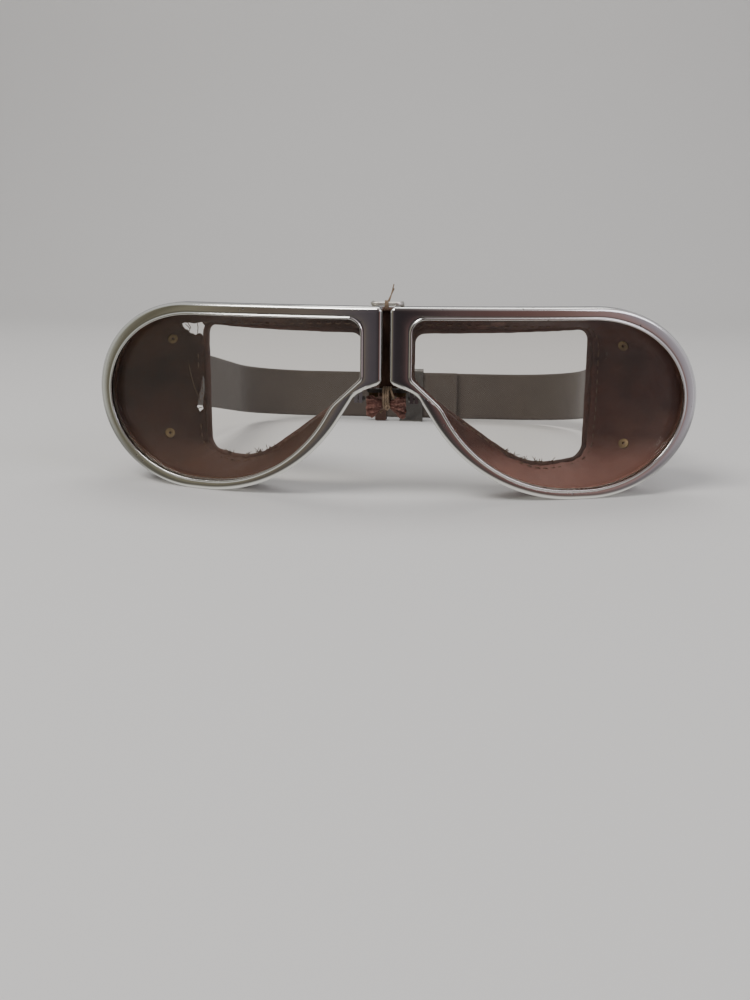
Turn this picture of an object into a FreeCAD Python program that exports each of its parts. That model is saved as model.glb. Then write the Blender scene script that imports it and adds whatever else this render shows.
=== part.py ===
# Flying and driving goggles of the 1930s kind: two curved, chromed eye frames that fold on a wire
# bridge, glass lenses, leather eye cups with padded edges, and an elastic head strap.
#
# Millimetres, +Z up. The lenses look along -Y. +X is the wearer's left. The origin is
# in the middle of the gap between the two frames, on their front surface, at the mid height.
# Every "left" shape is built on the +X side, and the matching "right" shape is its mirror image.
import FreeCAD, Part
import math
import os

V = FreeCAD.Vector
Z = V(0, 0, 1)

# ---------------------------------------------------------------- driving dimensions
FRAME_TOP = 29.0            # half height of an eye frame
FRAME_NASAL = 1.2           # half of the gap between the two frames
LENS_CURVE = 286.0          # radius of the frames' curved front, seen from above
SWEEP = 5.0                 # degrees that each frame already turns back at the nose

SHEET = 0.9                 # sheet metal of the front rim
RIM_DEPTH = 6.0             # front to back depth of the rim
REAR_LIP = 1.4              # inner edge of the rim's turned-in back, in from the outline
EDGE_ROUND = 1.1            # rounding of the rim's outer front edge
LIP_WIDTH = 0.5             # raised lip round the opening
LIP_HEIGHT = 0.25
STACK_INSET = 1.05          # outline of gasket, lens and back rim, in from the rim's outline
GASKET = (0.95, 1.45)       # depths behind the rim's front surface
LENS = (1.5, 3.6)
BACK_RIM = (3.65, 4.9)
CUP_FRONT = 4.95            # depth where the leather cup starts
COLLAR = 6.7                # and where it leaves the rim and starts to taper
LEATHER = 1.0               # cup leather

SPLIT_X = 8.3               # split in the rim, at the lower nasal corner
SPLIT_GAP = 0.3
LUG_W = 1.1
LUG_BOTTOM = 0.7
CLOSING_Z = 1.75            # axis of the closing screw
CLOSING_R = 0.4
CLOSING_HEAD_R = 0.75
CLOSING_HEAD_T = 0.5

PIN_X, PIN_Y = 4.2, 8.3     # axis of a hinge leg of the bridge
WIRE_R = 0.6                # bridge wire
HINGE_BORE = WIRE_R + 0.05
BARREL_R = 1.5
KNUCKLES = ((8.0, 13.5), (20.5, 26.0))
BRIDGE_TOP = 29.85          # height of the bridge's cross bar
BRIDGE_FRONT = 2.2          # and its distance behind the front surface
LINK_Z, LINK_T = 3.4, 1.0   # underside and thickness of the lower link
NUT_R, NUT_H = 1.45, 1.6

FACE_R = 80.0               # the wearer's face, as an upright cylinder
FACE_Y = 12.5               # its front, at the middle
PAD_R = 1.1                 # rolled edge that rests on the face
PAD_SIDES = 12
PAD_CLEAR = 0.50            # from the rolled edge's surface to the end of the cup's leather
CUP_GROW = 0.05             # the cup starts this far outside the opening

RING_R = 1.0                # wire of the temple rings
RING_FIT = 0.08             # clearance round that wire
RING_HALF = 13.6            # half height of a ring, to the wire's middle
RING_FRONT = V(78.0, 50.0, 0)      # axis of a temple ring's front bar
RING_REAR = V(77.3, 60.0, 0)       # axis of its rear bar
TAB_T = 1.5
TAB_OFF = LEATHER / 2 + 0.12       # inner side of the tab, from the middle of the cup's leather
TAB_HALF = 19.0             # half height of a strap tab at the cup
TAB_RING_HALF = 9.5         # and at the ring
TAB_EDGE_X = 69.0           # inner edge of the tab
RIVETS = ((73.0, 16.4), (75.0, -15.5))     # X and Z of the rivets in the cup's temple wall
RIVET_R = 0.9
RIVET_HEAD_R = 1.6
RIVET_SLACK = 0.12

BACKING_T = 0.9             # leather strip behind the gap between the frames
BACKING_HALF = 3.0
BACKING_Y = 11.9            # its rear surface
BACKING_HOOK = 7.5          # where its bent top ends
BACKING_TOP, BACKING_FOOT = 28.6, 1.6
BACKING_BEND = 1.6
NOSE_Y, NOSE_Z = 4.7, -0.3  # axis of the nose roll
PAD_HALF = 5.9
PAD_END_R = 2.8
WAIST_R = 1.3
LASH_R, LASH_STEP = 0.38, 0.7
TIE_X, TIE_R, TIE_STEP = 0.55, 0.22, 0.4

SEWN = 16.0                 # length of the doubled, sewn strap end
STRAP_W = 20.0              # elastic webbing
STRAP_T = 1.5
STRAP_Z = 1.0               # height of the strap's middle at the temples
STRAP_CORNER = V(69.0, 152.0, 0)   # where the side and the back of the inner layer would meet
STRAP_BEND_R = 30.0
LAYER_STEP = STRAP_T + 0.4  # from the inner layer to the outer one
OVERLAP = 20.0              # how far each strap end passes the middle
SLIDER_HALF = 5.0
SLIDER_WALL = 0.8
KEEPER_X = -13.5
KEEPER_HALF = 2.5

CURVE_CENTRE = V(-LENS_CURVE * math.sin(math.radians(SWEEP)),
                 LENS_CURVE * math.cos(math.radians(SWEEP)), 0)
# The strap slopes down so that the slider rests level with the bottom of the rims.
STRAP_DROP = STRAP_Z - STRAP_W / 2 - 0.3 - SLIDER_WALL + FRAME_TOP
STRAP_LOW_Y = STRAP_CORNER.y + LAYER_STEP + STRAP_T / 2
STRAP_TILT = math.asin(STRAP_DROP / (STRAP_LOW_Y - RING_REAR.y))


# ---------------------------------------------------------------- the goggle-shaped outline
# An outline is a straight top, an outer end, a long lower arc, a straight run up beside the nose,
# a short edge under the bridge and a straight nasal side. The outer end is half an ellipse, or, if
# end_r is given, an upright side between two corners of that radius.
OUTER_EDGE = dict(nasal=FRAME_NASAL, top=FRAME_TOP, bottom=-FRAME_TOP, end_x=62.0, end_rx=32.8,
                  low_x=58.0, low_r=51.5, nose_angle=58.0, under=(4.0, 5.6), under_angle=23.0,
                  fillets=(6.0, 2.2, 1.5))
OPENING = dict(nasal=7.5, top=25.4, bottom=-26.0, end_x=60.5, end_rx=30.2,
               low_x=57.0, low_r=44.5, nose_angle=60.0, under=(10.0, 5.8), under_angle=43.0,
               fillets=(12.0, 2.0, 4.0))
FACE_OPENING = dict(nasal=6.9, top=21.8, bottom=-21.8, end_x=57.0, end_rx=6.3, end_r=5.0,
                    low_x=52.0, low_r=27.7, nose_angle=37.0, under=(9.5, 3.6), under_angle=50.0,
                    fillets=(9.0, 4.0, 4.0))
# How many points each stretch of an outline gets when it guides leather.
STEPS = (9, 26, 2, 14, 6, 4, 3, 5, 7, 6)


def in_plane(x, z):
    return V(x, 0, z)


def fillet(before, corner, after, radius):
    """Tangent points and middle of the arc that rounds a corner between two straight edges."""
    u = (before - corner).normalize()
    w = (after - corner).normalize()
    half = u.getAngle(w) / 2
    reach = radius / math.tan(half)
    middle = corner + (u + w).normalize() * (radius / math.sin(half) - radius)
    return corner + u * reach, middle, corner + w * reach


def crossing(p, p_angle, q, q_angle):
    """Where two edges that fall to the right at the given angles meet."""
    slope_p, slope_q = math.tan(math.radians(p_angle)), math.tan(math.radians(q_angle))
    x = (p.z - q.z + slope_p * p.x - slope_q * q.x) / (slope_p - slope_q)
    return in_plane(x, p.z - slope_p * (x - p.x))


def outline_edges(shape, grow=0.0):
    """The outline's ten stretches in order, from the top's nasal end round the outer end."""
    nasal, top, bottom = shape["nasal"] - grow, shape["top"] + grow, shape["bottom"] - grow
    end_x, end_rx, low_x = shape["end_x"], shape["end_rx"] + grow, shape["low_x"]
    low_r, nose = shape["low_r"] + grow, shape["nose_angle"]
    under = math.radians(shape["under_angle"])
    middle_z = (top + bottom) / 2
    low_centre = in_plane(low_x, bottom + low_r)

    def on_low_arc(angle):
        a = math.radians(angle)
        return low_centre + in_plane(-low_r * math.sin(a), -low_r * math.cos(a))

    on_nose = on_low_arc(nose)
    on_under = in_plane(*shape["under"]) + in_plane(-grow * math.sin(under), -grow * math.cos(under))
    nose_corner = crossing(on_nose, nose, on_under, shape["under_angle"])
    slope = math.tan(under)
    nasal_corner = in_plane(nasal, on_under.z - slope * (nasal - on_under.x))
    top_corner = in_plane(nasal, top)
    r_nose, r_nasal, r_top = shape["fillets"]
    r_nasal, r_top = max(r_nasal + grow, 0.4), max(r_top + grow, 0.4)
    nose_arc = fillet(on_nose, nose_corner, nasal_corner, r_nose)
    nasal_arc = fillet(nose_corner, nasal_corner, top_corner, r_nasal)
    top_arc = fillet(nasal_corner, top_corner, in_plane(end_x, top), r_top)

    def straight(a, b):
        return Part.LineSegment(a, b).toShape()

    def arc(three):
        return Part.Arc(*three).toShape()

    start, stop = in_plane(end_x, top), in_plane(end_x, bottom)
    if "end_r" in shape:
        corners = [in_plane(end_x + end_rx, top), in_plane(end_x + end_rx, bottom)]
        end = Part.Wire(rounded_path([start] + corners + [stop], shape["end_r"] + grow))
    else:
        centre, side = in_plane(end_x, middle_z), in_plane(end_x + end_rx, middle_z)
        end = Part.ArcOfEllipse(Part.Ellipse(side, start, centre), -math.pi / 2, math.pi / 2)
        end = end.toShape()

    return [
        straight(top_arc[2], start),
        end,
        straight(in_plane(end_x, bottom), in_plane(low_x, bottom)),
        arc((in_plane(low_x, bottom), on_low_arc(nose / 2), on_nose)),
        straight(on_nose, nose_arc[0]),
        arc(nose_arc),
        straight(nose_arc[2], nasal_arc[0]),
        arc(nasal_arc),
        straight(nasal_arc[2], top_arc[0]),
        arc(top_arc),
    ]


def prism(shape, grow=0.0):
    """The outline as a long bar along Y."""
    wire = Part.Wire(outline_edges(shape, grow))
    wire.translate(V(0, -20, 0))
    return Part.Face(wire).extrude(V(0, 120, 0))


def outline_points(shape, grow=0.0):
    """Points round the outline, the same number on every outline, so that two can be joined."""
    points = []
    at = None
    for edge, count in zip(outline_edges(shape, grow), STEPS):
        run = edge.discretize(count + 1)
        if at is not None and run[-1].distanceToPoint(at) < run[0].distanceToPoint(at):
            run.reverse()
        if at is None and run[0].x > run[-1].x:
            run.reverse()
        points += run[:-1]
        at = run[-1]
    return points


# ---------------------------------------------------------------- curved layers
def layer(front, back):
    """The curved slab between two depths behind the frames' front surface."""
    height = 100.0
    base = CURVE_CENTRE - Z * height / 2
    outside = Part.makeCylinder(LENS_CURVE - front, height, base)
    return outside.cut(Part.makeCylinder(LENS_CURVE - back, height, base))


def ring_layer(outside, inside, front, back):
    """A ring between two bars, cut to a curved slab."""
    return outside.cut(inside).common(layer(front, back))


def lens_depth(x, depth):
    """Y of the curved surface at a depth behind the front, at one X."""
    radius = LENS_CURVE - depth
    return CURVE_CENTRE.y - math.sqrt(radius ** 2 - (x - CURVE_CENTRE.x) ** 2)


def face_depth(x, off):
    """Y of the surface that stands off the wearer's face by a distance, at one X."""
    return FACE_Y + FACE_R - math.sqrt((FACE_R + off) ** 2 - x ** 2)


def loop_curve(points):
    curve = Part.BSplineCurve()
    curve.interpolate(Points=points, PeriodicFlag=True)
    return curve.toShape()


def ruled_solid(loops):
    """A solid whose skin runs through a list of loops: the last loop joins the first."""
    curves = [loop_curve(points) for points in loops]
    faces = [Part.makeRuledSurface(a, b) for a, b in zip(curves, curves[1:] + curves[:1])]
    shell = Part.Compound(faces)
    shell.sewShape()
    solid = Part.Solid(Part.Shell(shell.Faces))
    if solid.Volume < 0:
        solid.reverse()
    return solid


def round_bar(edges, radius, start, direction):
    """A round bar along a path."""
    circle = Part.Wire([Part.Circle(start, direction, radius).toShape()])
    return Part.Wire(edges).makePipeShell([circle], True, True)


def rounded_path(corners, radius, closed=False):
    """Straight runs joined by arcs, through a list of corners."""
    count = len(corners)
    arcs = {}
    for i in range(count):
        if closed or 0 < i < count - 1:
            arcs[i] = fillet(corners[i - 1], corners[i], corners[(i + 1) % count], radius)
    edges = []
    for i in range(count if closed else count - 1):
        j = (i + 1) % count
        a = arcs[i][2] if i in arcs else corners[i]
        b = arcs[j][0] if j in arcs else corners[j]
        edges.append(Part.LineSegment(a, b).toShape())
        if j in arcs:
            edges.append(Part.Arc(*arcs[j]).toShape())
    return edges


def box(x0, x1, y0, y1, z0, z1):
    return Part.makeBox(x1 - x0, y1 - y0, z1 - z0, V(x0, y0, z0))


# ---------------------------------------------------------------- eye frame
def front_rim():
    """The chromed channel: front face, outer wall, turned-in back, raised lip and two lugs."""
    outside, opening = prism(OUTER_EDGE), prism(OPENING)
    inside = prism(OUTER_EDGE, -SHEET)
    shell = ring_layer(outside, opening, 0, SHEET)
    shell = shell.fuse(ring_layer(outside, inside, SHEET, RIM_DEPTH))
    shell = shell.fuse(ring_layer(outside, prism(OUTER_EDGE, -REAR_LIP), 5.1, RIM_DEPTH))
    shell = round_front(shell.removeSplitter().Solids[0], EDGE_ROUND)
    lip = ring_layer(prism(OPENING, LIP_WIDTH), opening, -LIP_HEIGHT, SHEET)
    rim = shell.fuse(lip)

    lug_left = SPLIT_X - SPLIT_GAP / 2 - LUG_W
    lug_right = SPLIT_X + SPLIT_GAP / 2 + LUG_W
    lugs = box(lug_left, lug_right, 0, 12, LUG_BOTTOM, 4.0).common(layer(2.6, 5.8))
    lugs = lugs.cut(inside)
    screw_y = lens_depth(SPLIT_X, 4.2)
    hole = Part.makeCylinder(CLOSING_R + 0.03, 8, V(4, screw_y, CLOSING_Z), V(1, 0, 0))
    split = box(SPLIT_X - SPLIT_GAP / 2, SPLIT_X + SPLIT_GAP / 2, -3, 12, -4, 8.6)
    return rim.fuse(lugs).removeSplitter().cut([hole, split])


def round_front(solid, radius):
    """Rounds the outer edge of a ring's front face."""
    for face in solid.Faces:
        if isinstance(face.Surface, Part.Cylinder) and abs(face.Surface.Radius - LENS_CURVE) < 1e-6:
            return solid.makeFillet(radius, face.OuterWire.Edges)
    raise RuntimeError("no front face")


def closing_screw():
    """The small screw through both lugs, with a slotted head on the bridge side."""
    screw_y = lens_depth(SPLIT_X, 4.2)
    head = SPLIT_X - SPLIT_GAP / 2 - LUG_W - 0.05
    length = SPLIT_GAP + 2 * LUG_W + 0.3
    seat = V(head, screw_y, CLOSING_Z)
    shaft = Part.makeCylinder(CLOSING_R, length + 0.1, seat - V(0.1, 0, 0), V(1, 0, 0))
    cap = Part.makeCylinder(CLOSING_HEAD_R, CLOSING_HEAD_T, seat, V(-1, 0, 0))
    depth = CLOSING_HEAD_T * 0.4
    slot = box(head - CLOSING_HEAD_T - 1, head - CLOSING_HEAD_T + depth,
               screw_y - 0.12, screw_y + 0.12, CLOSING_Z - 2, CLOSING_Z + 2)
    return shaft.fuse(cap).cut(slot)


def gasket():
    return ring_layer(prism(OUTER_EDGE, -STACK_INSET), prism(OPENING, 0.35), *GASKET)


def lens():
    return prism(OUTER_EDGE, -STACK_INSET - 0.05).common(layer(*LENS))


def back_rim():
    return ring_layer(prism(OUTER_EDGE, -STACK_INSET), prism(OPENING, 0.35), *BACK_RIM)


def hinge_leaf():
    """The plate on the back of the nasal bar, with two knuckles for the bridge's leg."""
    low, high = KNUCKLES[0][0], KNUCKLES[1][1]
    leaf = box(2.9, 5.5, 0, 7.3, low, high).cut(layer(-5, BACK_RIM[1] + 0.04))
    for bottom, top in KNUCKLES:
        at = V(PIN_X, PIN_Y, bottom)
        leaf = leaf.fuse(Part.makeCylinder(BARREL_R, top - bottom, at))
    bore = Part.makeCylinder(HINGE_BORE, high - low + 2, V(PIN_X, PIN_Y, low - 1))
    return leaf.cut(bore)


def lens_loop(shape, grow, depth):
    """A loop of points on the curved surface at a depth."""
    return [V(p.x, lens_depth(p.x, depth), p.z) for p in outline_points(shape, grow)]


def pad_loop(grow):
    """A loop of points along the middle of the rolled edge."""
    return [V(p.x, face_depth(p.x, PAD_R), p.z) for p in outline_points(FACE_OPENING, grow)]


def cup_middle():
    """The middle of the cup's leather: its loops at the collar and at the rear, and its normals."""
    collar, hub = lens_loop(OPENING, CUP_GROW + LEATHER / 2, COLLAR), pad_loop(0)
    count = len(collar)
    rear, normals = [], []
    for i in range(count):
        around = (hub[(i + 1) % count] - hub[i - 1]).normalize()
        away = collar[i] - hub[i]
        away = (away - around * away.dot(around)).normalize()
        rear.append(hub[i] + away * (PAD_R + PAD_CLEAR))
        normals.append(around.cross(rear[i] - collar[i]).normalize())
    return collar, rear, normals


def cup_skin(off):
    """Collar and rear loops of the surface that stands off the leather's middle by a distance."""
    collar, rear, normals = cup_middle()
    return [[p + n * off for p, n in zip(loop, normals)] for loop in (collar, rear)]


def eyecup():
    """The leather funnel between the back rim and the rolled face edge."""
    outside = [lens_loop(OPENING, CUP_GROW + LEATHER, CUP_FRONT)] + cup_skin(LEATHER / 2)
    inside = [lens_loop(OPENING, CUP_GROW, CUP_FRONT)] + cup_skin(-LEATHER / 2)
    return pierced(ruled_solid(outside + inside[::-1]))


def pierced(leather):
    """Leather with its two rivet holes."""
    for at, axis in rivet_axes():
        leather = leather.cut(Part.makeCylinder(RIVET_R + 0.03, 12, at - axis * 6, axis))
    return leather


def rivet_axes():
    """Middle and outward direction of the two rivets through the cup wall and the tab."""
    wall = Part.makeRuledSurface(*[loop_curve(points) for points in cup_skin(0)])
    found = []
    for x, z in RIVETS:
        hit = wall.section(Part.makeLine(V(x, 0, z), V(x, 60, z))).Vertexes[0].Point
        axis = wall.normalAt(*wall.Surface.parameter(hit))
        axis = axis if axis.y > 0 else axis * -1
        found.append((hit + axis * (TAB_OFF + TAB_T - LEATHER / 2) / 2, axis))
    return found


def face_pad():
    """The padded, rolled edge along the back of the cup."""
    loops = []
    for i in range(PAD_SIDES):
        a = 2 * math.pi * i / PAD_SIDES
        loops.append([p + V(0, PAD_R * math.sin(a), 0) for p in pad_loop(PAD_R * math.cos(a))])
    return ruled_solid(loops)


# ---------------------------------------------------------------- temple side
def strap_tab():
    """The leather tab: a patch on the cup's temple wall and a loop round the ring's front bar."""
    outside_x = RING_FRONT.x + RING_R + RING_FIT + TAB_T
    near, far = cup_skin(TAB_OFF), cup_skin(TAB_OFF + TAB_T)
    patch = ruled_solid([far[0], far[1], near[1], near[0]])
    patch = patch.common(box(TAB_EDGE_X, outside_x, 0, 60, -TAB_HALF, TAB_HALF))
    plug = Part.makeLoft([Part.Wire([loop_curve(points)]) for points in near], True, True)
    sheet = box(outside_x - TAB_T, outside_x, 20, RING_FRONT.y, -TAB_HALF, TAB_HALF).cut(plug)
    foot = RING_FRONT - Z * TAB_HALF
    loop = Part.makeCylinder(outside_x - RING_FRONT.x, 2 * TAB_HALF, foot)
    bar = Part.makeCylinder(RING_R + RING_FIT, 2 * TAB_HALF, foot)
    side = [(10, TAB_HALF), (36, TAB_HALF), (46.5, TAB_RING_HALF), (60, TAB_RING_HALF)]
    corners = side + [(y, -z) for y, z in reversed(side)] + side[:1]
    taper = Part.Face(Part.makePolygon([V(0, y, z) for y, z in corners])).extrude(V(120, 0, 0))
    tab = patch.fuse([sheet, loop]).cut(bar)
    return pierced(tab.common(taper).common(layer(8.5, 70)))


def tab_rivets():
    """Two tubular rivets: a barrel with a rolled flange at each end."""
    rivets = []
    reach = (LEATHER / 2 + TAB_OFF + TAB_T) / 2 + RIVET_SLACK
    for at, axis in rivet_axes():
        barrel = Part.makeCylinder(RIVET_R, 2 * reach + 0.2, at - axis * (reach + 0.1), axis)
        flanges = [Part.makeCylinder(RIVET_HEAD_R, 0.5, at + axis * reach, axis),
                   Part.makeCylinder(RIVET_HEAD_R, 0.5, at - axis * reach, axis * -1)]
        bore = Part.makeCylinder(RIVET_R - 0.4, 12, at - axis * 6, axis)
        rivets.append(barrel.fuse(flanges).cut(bore))
    return Part.makeCompound(rivets)


def strap_ring():
    """The rectangular wire loop that joins the tab to the strap."""
    corners = [RING_FRONT - Z * RING_HALF, RING_FRONT + Z * RING_HALF,
               RING_REAR + Z * RING_HALF, RING_REAR - Z * RING_HALF]
    edges = rounded_path(corners, 2.4, closed=True)
    ring = round_bar(edges, RING_R, edges[0].Vertexes[0].Point, Z)
    return ring


# ---------------------------------------------------------------- strap
def turn_left(a, b):
    """The unit vector to the left of the run from a to b, seen from above."""
    run = (b - a).normalize()
    return V(-run.y, run.x, 0)


def webbing_side(corner, end, off, radius):
    """One face of the webbing, seen from above: the side run, the bend and the back run."""
    start = V(RING_REAR.x, RING_REAR.y, 0)
    out_a, out_b = turn_left(start, corner) * off, turn_left(corner, end) * off
    slide = (out_a + out_b) * (1 / (1 + turn_left(start, corner).dot(turn_left(corner, end))))
    return rounded_path([start + out_a, corner + slide, end + out_b], radius - off)


def tilted(shape):
    """Tips a shape drawn in the plan of the strap, so that the strap slopes down to the back."""
    shape.rotate(V(0, RING_REAR.y, 0), V(1, 0, 0), -math.degrees(STRAP_TILT))
    return shape


def strap(layer_y, bend):
    """One half of the head strap: an eye round the ring, a doubled end, and a plain run."""
    corner = V(STRAP_CORNER.x, layer_y, 0)
    end = V(-OVERLAP, layer_y, 0)
    half = STRAP_T / 2
    left = webbing_side(corner, end, half, bend)
    right = webbing_side(corner, end, -half, bend)
    tail = Part.LineSegment(left[-1].Vertexes[-1].Point, right[-1].Vertexes[-1].Point).toShape()
    head = Part.LineSegment(left[0].Vertexes[0].Point, right[0].Vertexes[0].Point).toShape()
    run = Part.Face(Part.Wire(Part.__sortEdges__(left + right + [tail, head])))
    eye_r = RING_R + RING_FIT
    across = turn_left(RING_REAR, corner)
    along = (corner - RING_REAR).normalize()
    root = RING_REAR + across * (half + 0.02)
    sewn_end = [root, root + along * SEWN, root + along * SEWN + across * STRAP_T,
                root + across * STRAP_T, root]
    eye = Part.Face(Part.Wire([Part.Circle(RING_REAR, Z, eye_r + STRAP_T).toShape()]))
    sewn = Part.Face(Part.makePolygon(sewn_end))
    hole = Part.Face(Part.Wire([Part.Circle(RING_REAR, Z, eye_r).toShape()]))
    plan = eye.fuse([run, sewn]).cut(hole).removeSplitter()
    plan = tilted(plan)
    band = plan.extrude(Z * STRAP_W)
    band.translate(Z * (STRAP_Z - STRAP_W / 2))
    return band


def back_point(y):
    """The level middle of the webbing where it runs behind the head."""
    run = y - RING_REAR.y
    return V(0, RING_REAR.y + run * math.cos(STRAP_TILT), STRAP_Z - run * math.sin(STRAP_TILT))


def sleeve(x, half, wall):
    """A flat metal sleeve round both layers of webbing."""
    inner, outer = back_point(STRAP_CORNER.y - STRAP_T / 2), back_point(STRAP_LOW_Y)
    y0, y1 = inner.y - 0.15, outer.y + 0.15
    z0, z1 = outer.z - STRAP_W / 2 - 0.3, inner.z + STRAP_W / 2 + 0.3
    body = box(x - half, x + half, y0 - wall, y1 + wall, z0 - wall, z1 + wall)
    long_edges = [e for e in body.Edges if e.BoundBox.XLength > half]
    body = body.makeFillet(wall * 0.9, long_edges)
    return body.cut(box(x - half - 1, x + half + 1, y0, y1, z0, z1))


def strap_slider():
    """The slide buckle, with a window at the back that shows the webbing."""
    body = sleeve(0, SLIDER_HALF, SLIDER_WALL)
    low, high = body.BoundBox.ZMin + 4, body.BoundBox.ZMax - 4
    back = body.BoundBox.YMax
    window = box(-SLIDER_HALF + 1.8, SLIDER_HALF - 1.8, back - 2 * SLIDER_WALL, back + 1, low, high)
    upright = [e for e in window.Edges if e.BoundBox.YLength > SLIDER_WALL]
    return body.cut(window.makeFillet(1.2, upright))


def strap_keeper():
    """The small loop that holds the free tail down."""
    return sleeve(KEEPER_X, KEEPER_HALF, 0.6)


# ---------------------------------------------------------------- bridge
def bridge_wire():
    """One bent wire: two hinge legs, and a cross bar over the tops of the rims."""
    foot = KNUCKLES[0][0] - 5.6
    corners = [V(PIN_X, PIN_Y, foot), V(PIN_X, PIN_Y, BRIDGE_TOP),
               V(PIN_X, BRIDGE_FRONT, BRIDGE_TOP), V(-PIN_X, BRIDGE_FRONT, BRIDGE_TOP),
               V(-PIN_X, PIN_Y, BRIDGE_TOP), V(-PIN_X, PIN_Y, foot)]
    return round_bar(rounded_path(corners, 1.6), WIRE_R, corners[0], Z)


def lower_link():
    """The flat link that joins the feet of the two legs."""
    ends = [Part.makeCylinder(1.9, LINK_T, V(s * PIN_X, PIN_Y, LINK_Z)) for s in (-1, 1)]
    bar = box(-PIN_X, PIN_X, PIN_Y - 1.3, PIN_Y + 1.3, LINK_Z, LINK_Z + LINK_T)
    link = bar.fuse(ends).removeSplitter()
    for s in (-1, 1):
        link = link.cut(Part.makeCylinder(WIRE_R + 0.03, 4, V(s * PIN_X, PIN_Y, LINK_Z - 1)))
    return link


def pin_nuts():
    """The two domed nuts on the ends of the legs."""
    nuts = []
    for s in (-1, 1):
        at = V(s * PIN_X, PIN_Y, LINK_Z - 0.04)
        nut = Part.makeCylinder(NUT_R, NUT_H, at, V(0, 0, -1))
        nut = nut.makeFillet(0.6, [nut.Edges[i] for i in lowest_edges(nut)])
        nuts.append(nut.cut(Part.makeCylinder(WIRE_R + 0.03, NUT_H - 0.45, at, V(0, 0, -1))))
    return Part.makeCompound(nuts)


def lowest_edges(solid):
    low = solid.BoundBox.ZMin
    return [i for i, e in enumerate(solid.Edges) if e.BoundBox.ZMax < low + 0.01]


def bridge_backing():
    """The leather strip that closes the gap between the frames, bent forward under the cross bar."""
    def side(in_by):
        y, top = BACKING_Y - in_by, BACKING_TOP - in_by
        corners = [V(0, BACKING_HOOK, top), V(0, y, top), V(0, y, BACKING_FOOT)]
        return rounded_path(corners, BACKING_BEND - in_by)

    back, front = side(0), side(BACKING_T)
    ends = [(back[0].Vertexes[0], front[0].Vertexes[0]), (back[-1].Vertexes[-1], front[-1].Vertexes[-1])]
    ends = [Part.LineSegment(a.Point, b.Point).toShape() for a, b in ends]
    profile = Part.Face(Part.Wire(Part.__sortEdges__(back + front + ends)))
    profile.translate(V(-BACKING_HALF, 0, 0))
    return profile.extrude(V(2 * BACKING_HALF, 0, 0))


def thread_wraps(path, radius, start, direction, step, turns):
    """Neighbouring turns of thread as one body: the same closed loop, repeated sideways."""
    one = round_bar(path, radius, start, direction)
    rest = []
    for i in range(1, turns):
        other = one.copy()
        other.translate(V(step * i, 0, 0))
        rest.append(other)
    return one.fuse(rest)


def nose_pad():
    """The leather roll on the wearer's nose, pinched in the middle by its lashing."""
    profile = [(-PAD_HALF, 0), (-PAD_HALF, PAD_END_R), (-2.4, 1.9), (0, WAIST_R), (2.4, 1.9),
               (PAD_HALF, PAD_END_R), (PAD_HALF, 0)]
    points = [V(x, NOSE_Y, NOSE_Z + r) for x, r in profile]
    curve = Part.BSplineCurve()
    curve.interpolate(points[1:-1])
    outline = [Part.makeLine(points[0], points[1]), curve.toShape(),
               Part.makeLine(points[-2], points[-1]), Part.makeLine(points[-1], points[0])]
    axis = V(0, NOSE_Y, NOSE_Z)
    roll = Part.Face(Part.Wire(outline)).revolve(axis, V(1, 0, 0), 360)
    return roll


def lower_lashing():
    """Thread round the waist of the nose roll and the middle of the lower link."""
    r, slack = LASH_R, WAIST_R + LASH_R + 0.2
    top = LINK_Z + LINK_T + r + 0.3
    x = -1.5 * LASH_STEP
    corners = [V(x, NOSE_Y - slack, NOSE_Z - slack), V(x, PIN_Y + 1.3 + r + 0.3, NOSE_Z - slack),
               V(x, PIN_Y + 1.3 + r + 0.3, top), V(x, NOSE_Y - slack, top)]
    path = rounded_path(corners, 1.0, closed=True)
    run = (corners[1] - corners[0]).normalize()
    return thread_wraps(path, r, path[0].Vertexes[0].Point, run, LASH_STEP, 4)


def upper_lashing():
    """Two ties of thread round the bridge's cross bar."""
    ties = []
    for middle in (-TIE_X, TIE_X):
        at = V(middle - TIE_STEP / 2, BRIDGE_FRONT, BRIDGE_TOP)
        turn = Part.makeTorus(WIRE_R + 0.04 + TIE_R, TIE_R, at, V(1, 0, 0))
        other = turn.copy()
        other.translate(V(TIE_STEP, 0, 0))
        ties.append(turn.fuse(other))
    return Part.makeCompound(ties)


# ---------------------------------------------------------------- export
def export(name, shape):
    if not shape.isValid():
        raise RuntimeError(name + " is not a valid shape")
    shape.exportStep("parts/" + name + ".step")


def main():
    os.makedirs("parts", exist_ok=True)
    halves = {
        "front_rim": front_rim(),
        "closing_screw": closing_screw(),
        "lens_gasket": gasket(),
        "lens": lens(),
        "back_rim": back_rim(),
        "hinge_leaf": hinge_leaf(),
        "eyecup": eyecup(),
        "face_pad": face_pad(),
        "strap_tab": strap_tab(),
        "tab_rivets": tab_rivets(),
        "strap_ring": strap_ring(),
    }
    for name, shape in halves.items():
        export("left_" + name, shape)
        export("right_" + name, shape.mirror(V(0, 0, 0), V(1, 0, 0)))
    outer_y = STRAP_CORNER.y + LAYER_STEP
    export("left_strap", strap(outer_y, STRAP_BEND_R + LAYER_STEP))
    export("right_strap", strap(STRAP_CORNER.y, STRAP_BEND_R).mirror(V(0, 0, 0), V(1, 0, 0)))
    export("strap_slider", strap_slider())
    export("strap_keeper", strap_keeper())
    export("bridge_wire", bridge_wire())
    export("lower_link", lower_link())
    export("pin_nuts", pin_nuts())
    export("bridge_backing", bridge_backing())
    export("nose_pad", nose_pad())
    export("upper_lashing", upper_lashing())
    export("lower_lashing", lower_lashing())


main()
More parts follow.
